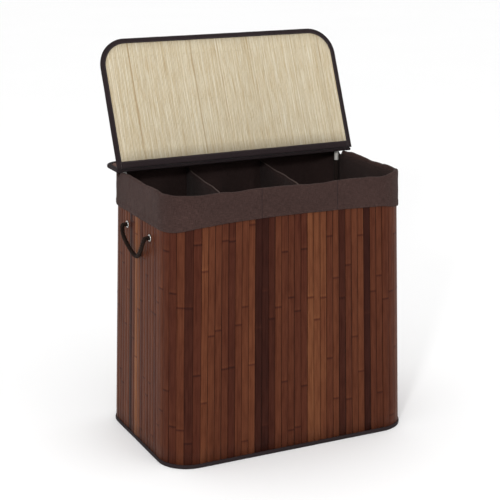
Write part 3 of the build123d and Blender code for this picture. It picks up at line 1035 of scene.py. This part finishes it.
def leaf(prefix, node, body, y_far, y_hinge, radius, turn):
    """One leaf: dark slats outside, a mat of fine pale sticks inside and a cloth binding round it."""
    toward = -1 if y_far < y_hinge else 1
    low, high = LID_TOP_Z - LID_T, LID_TOP_Z
    outer = leaf_outline(y_far, y_hinge, radius, 0.0)
    band(f"{prefix}_edge_binding", outer, LID_BINDING_W, body, f"{node}_binding", turn, 1.0)
    inside_x = LID_HALF_W - LID_BINDING_W
    hinge_path = [(Vector((-inside_x + 2 * inside_x * i / 90, y_hinge, 0)), Vector((0, -toward, 0)))
                  for i in range(91)]
    band(f"{prefix}_hinge_binding", hinge_path, HINGE_BAND_W, body, f"{node}_hinge_tape", turn, 5.0)

    sewn = [point for point, _ in leaf_outline(y_far, y_hinge, radius, LID_BINDING_W - STITCH_IN)]
    hinge_sewn_y = y_hinge + toward * (HINGE_BAND_W - STITCH_IN)
    hinge_line = [Vector((-inside_x, hinge_sewn_y, 0)), Vector((inside_x, hinge_sewn_y, 0))]
    stitches(f"{prefix}_inner_stitches", [sewn, hinge_line], low - 0.0001, body, turn, -1.0)
    stitches(f"{prefix}_outer_stitches", [sewn, hinge_line], high + 0.0001, body, turn)

    near = y_hinge + toward * (HINGE_BAND_W - UNDER_BINDING)
    hidden = LID_BINDING_W - UNDER_BINDING
    span = abs(y_far - y_hinge)
    mat = new_store(span)
    count = round(2 * inside_x / STICK_PITCH)
    sticks, x = [], -inside_x
    widths = [RNG.uniform(0.8, 1.2) for _ in range(count)]
    unit = 2 * inside_x / sum(widths)
    for share in widths:
        sticks.append((x + share * unit / 2, share * unit))
        x += share * unit

    def reach(x):
        return far_reach(x, y_far, radius, hidden, toward)

    for x, width in sticks:
        end = reach(x)
        if RNG.random() < DARK_STICK_CHANCE:
            tone = DARK_STICK_TONE
        else:
            tone = min(1.0, max(0.15, RNG.gauss(STICK_TONE, STICK_TONE_SPREAD)))
        sunk = RNG.uniform(0, 0.00015)
        strip_mesh(
            mat,
            lambda t: Vector((x, near + (end - near) * t, low + 0.0006 + sunk)),
            Vector((1, 0, 0)), Vector((0, 0, -1)),
            lambda t: width - STICK_GAP,
            STICK_T, STICK_ROWS, STICK_CROWN, tone, [], reach,
        )
    strips_piece(f"{prefix}_stick_mat", mat, LIGHT_BAMBOO, body, f"{node}_inner_mat", "bamboo_light", turn)

    thread_verts, thread_faces = [], []
    for row in THREAD_ROWS:
        y = y_hinge + toward * row
        if (y_far - y) * toward < 0.02:
            continue
        line = []
        for x, width in sticks:
            limit = far_reach(x, y_far, radius, hidden + UNDER_BINDING, toward)
            if (y - limit) * toward < 0:
                line.append(Vector((x - width / 2, y, low + 0.00085)))
                line.append(Vector((x, y + RNG.uniform(-0.0001, 0.0001), low + 0.00035)))
        made_verts, made_faces, _ = tube_mesh(line, THREAD_R, 6)
        thread_faces += [tuple(i + len(thread_verts) for i in face) for face in made_faces]
        thread_verts += [turn @ v for v in made_verts]
    piece(f"{prefix}_mat_threads", thread_verts, thread_faces, MAT_THREAD, body, slot="bamboo_light")

    slats = new_store(span)
    count = round(2 * inside_x / LID_SLAT_PITCH)
    pitch = 2 * inside_x / count
    for i in range(count):
        x = -inside_x + (i + 0.5) * pitch
        end = reach(x)
        gap, tone = RNG.uniform(0.0006, 0.0012), slat_tone()
        strip_mesh(
            slats,
            lambda t: Vector((x, near + (end - near) * t, high - 0.0004)),
            Vector((1, 0, 0)), Vector((0, 0, 1)),
            lambda t: pitch - gap,
            SLAT_T, LID_SLAT_ROWS, SLAT_CROWN, tone, growth_rings(span), reach,
        )
    strips_piece(f"{prefix}_outer_slats", slats, DARK_BAMBOO, body, f"{node}_slats", "bamboo_dark", turn)


leaf("lid_panel", "lid", "lid", LID_FAR_Y, HINGE.y - HINGE_GAP, LID_R, LID_TURN)
leaf("rear_leaf", "rear_strip", "hamper", STRIP_FAR_Y, HINGE.y + HINGE_GAP, STRIP_R, HERE)


# Finishes on the CAD nodes that stay
# The backing, cover, core and sleeve nodes take the near-black cloth, which reads as painted shade in the
# gaps it shows through.
NODE_ENDINGS = {
    "_backing": BACKING_CLOTH_AND_GAP_SHADE, "_cover": BACKING_CLOTH_AND_GAP_SHADE, "_core": BACKING_CLOTH_AND_GAP_SHADE, "_sleeve": BACKING_CLOTH_AND_GAP_SHADE,
    "_board": BOARD, "_pole": STEEL, "_cap": CAP_PLASTIC,
}
for name, node_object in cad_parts.items():
    for ending, finish in NODE_ENDINGS.items():
        if name.endswith(ending):
            for material_slot in node_object.material_slots:
                material_slot.material = finish


# Floor, light and background
floor_look = Look("pale_floor", (0.96, 0.96, 0.96), 0.8, 0.1)
floor_place = floor_look.node("TexCoord").outputs["Object"]
floor_cloud = floor_look.noise(floor_place, 1.5, 2.0)
floor_tone = floor_look.ramp(floor_cloud, [(0.0, grey(0.955)), (1.0, grey(0.975))])
floor_look.link(floor_tone, floor_look.shader.inputs["Base Color"])
FLOOR_REACH = 12.0
floor_corners = [(x * FLOOR_REACH, y * FLOOR_REACH, 0) for x, y in ((-1, -1), (1, -1), (1, 1), (-1, 1))]
floor_mesh = bpy.data.meshes.new("floor")
floor_mesh.from_pydata(floor_corners, [], [(0, 1, 2, 3)])
floor_mesh.materials.append(floor_look.material)
floor = bpy.data.objects.new("floor", floor_mesh)
bpy.context.scene.collection.objects.link(floor)

WORLD_STRENGTH = 1.02
world = bpy.data.worlds.new("studio")
world.use_nodes = True
background = world.node_tree.nodes["Background"]
background.inputs["Color"].default_value = (1, 1, 1, 1)
background.inputs["Strength"].default_value = WORLD_STRENGTH
bpy.context.scene.world = world
bpy.context.scene.view_settings.view_transform = "Standard"


LIGHT_TARGET = Vector((0, 0, 0.4))


def area_light(name, place, size, power):
    """A square light in metres and watts, turned towards the middle of the hamper."""
    data = bpy.data.lights.new(name, "AREA")
    data.size = size
    data.energy = power
    made = bpy.data.objects.new(name, data)
    made.location = place
    made.rotation_euler = (LIGHT_TARGET - Vector(place)).to_track_quat("-Z", "Y").to_euler()
    bpy.context.scene.collection.objects.link(made)


area_light("key", (-2.4, -3.1, 2.2), size=0.35, power=58)
area_light("fill", (1.6, -3.0, 2.0), size=2.0, power=10)
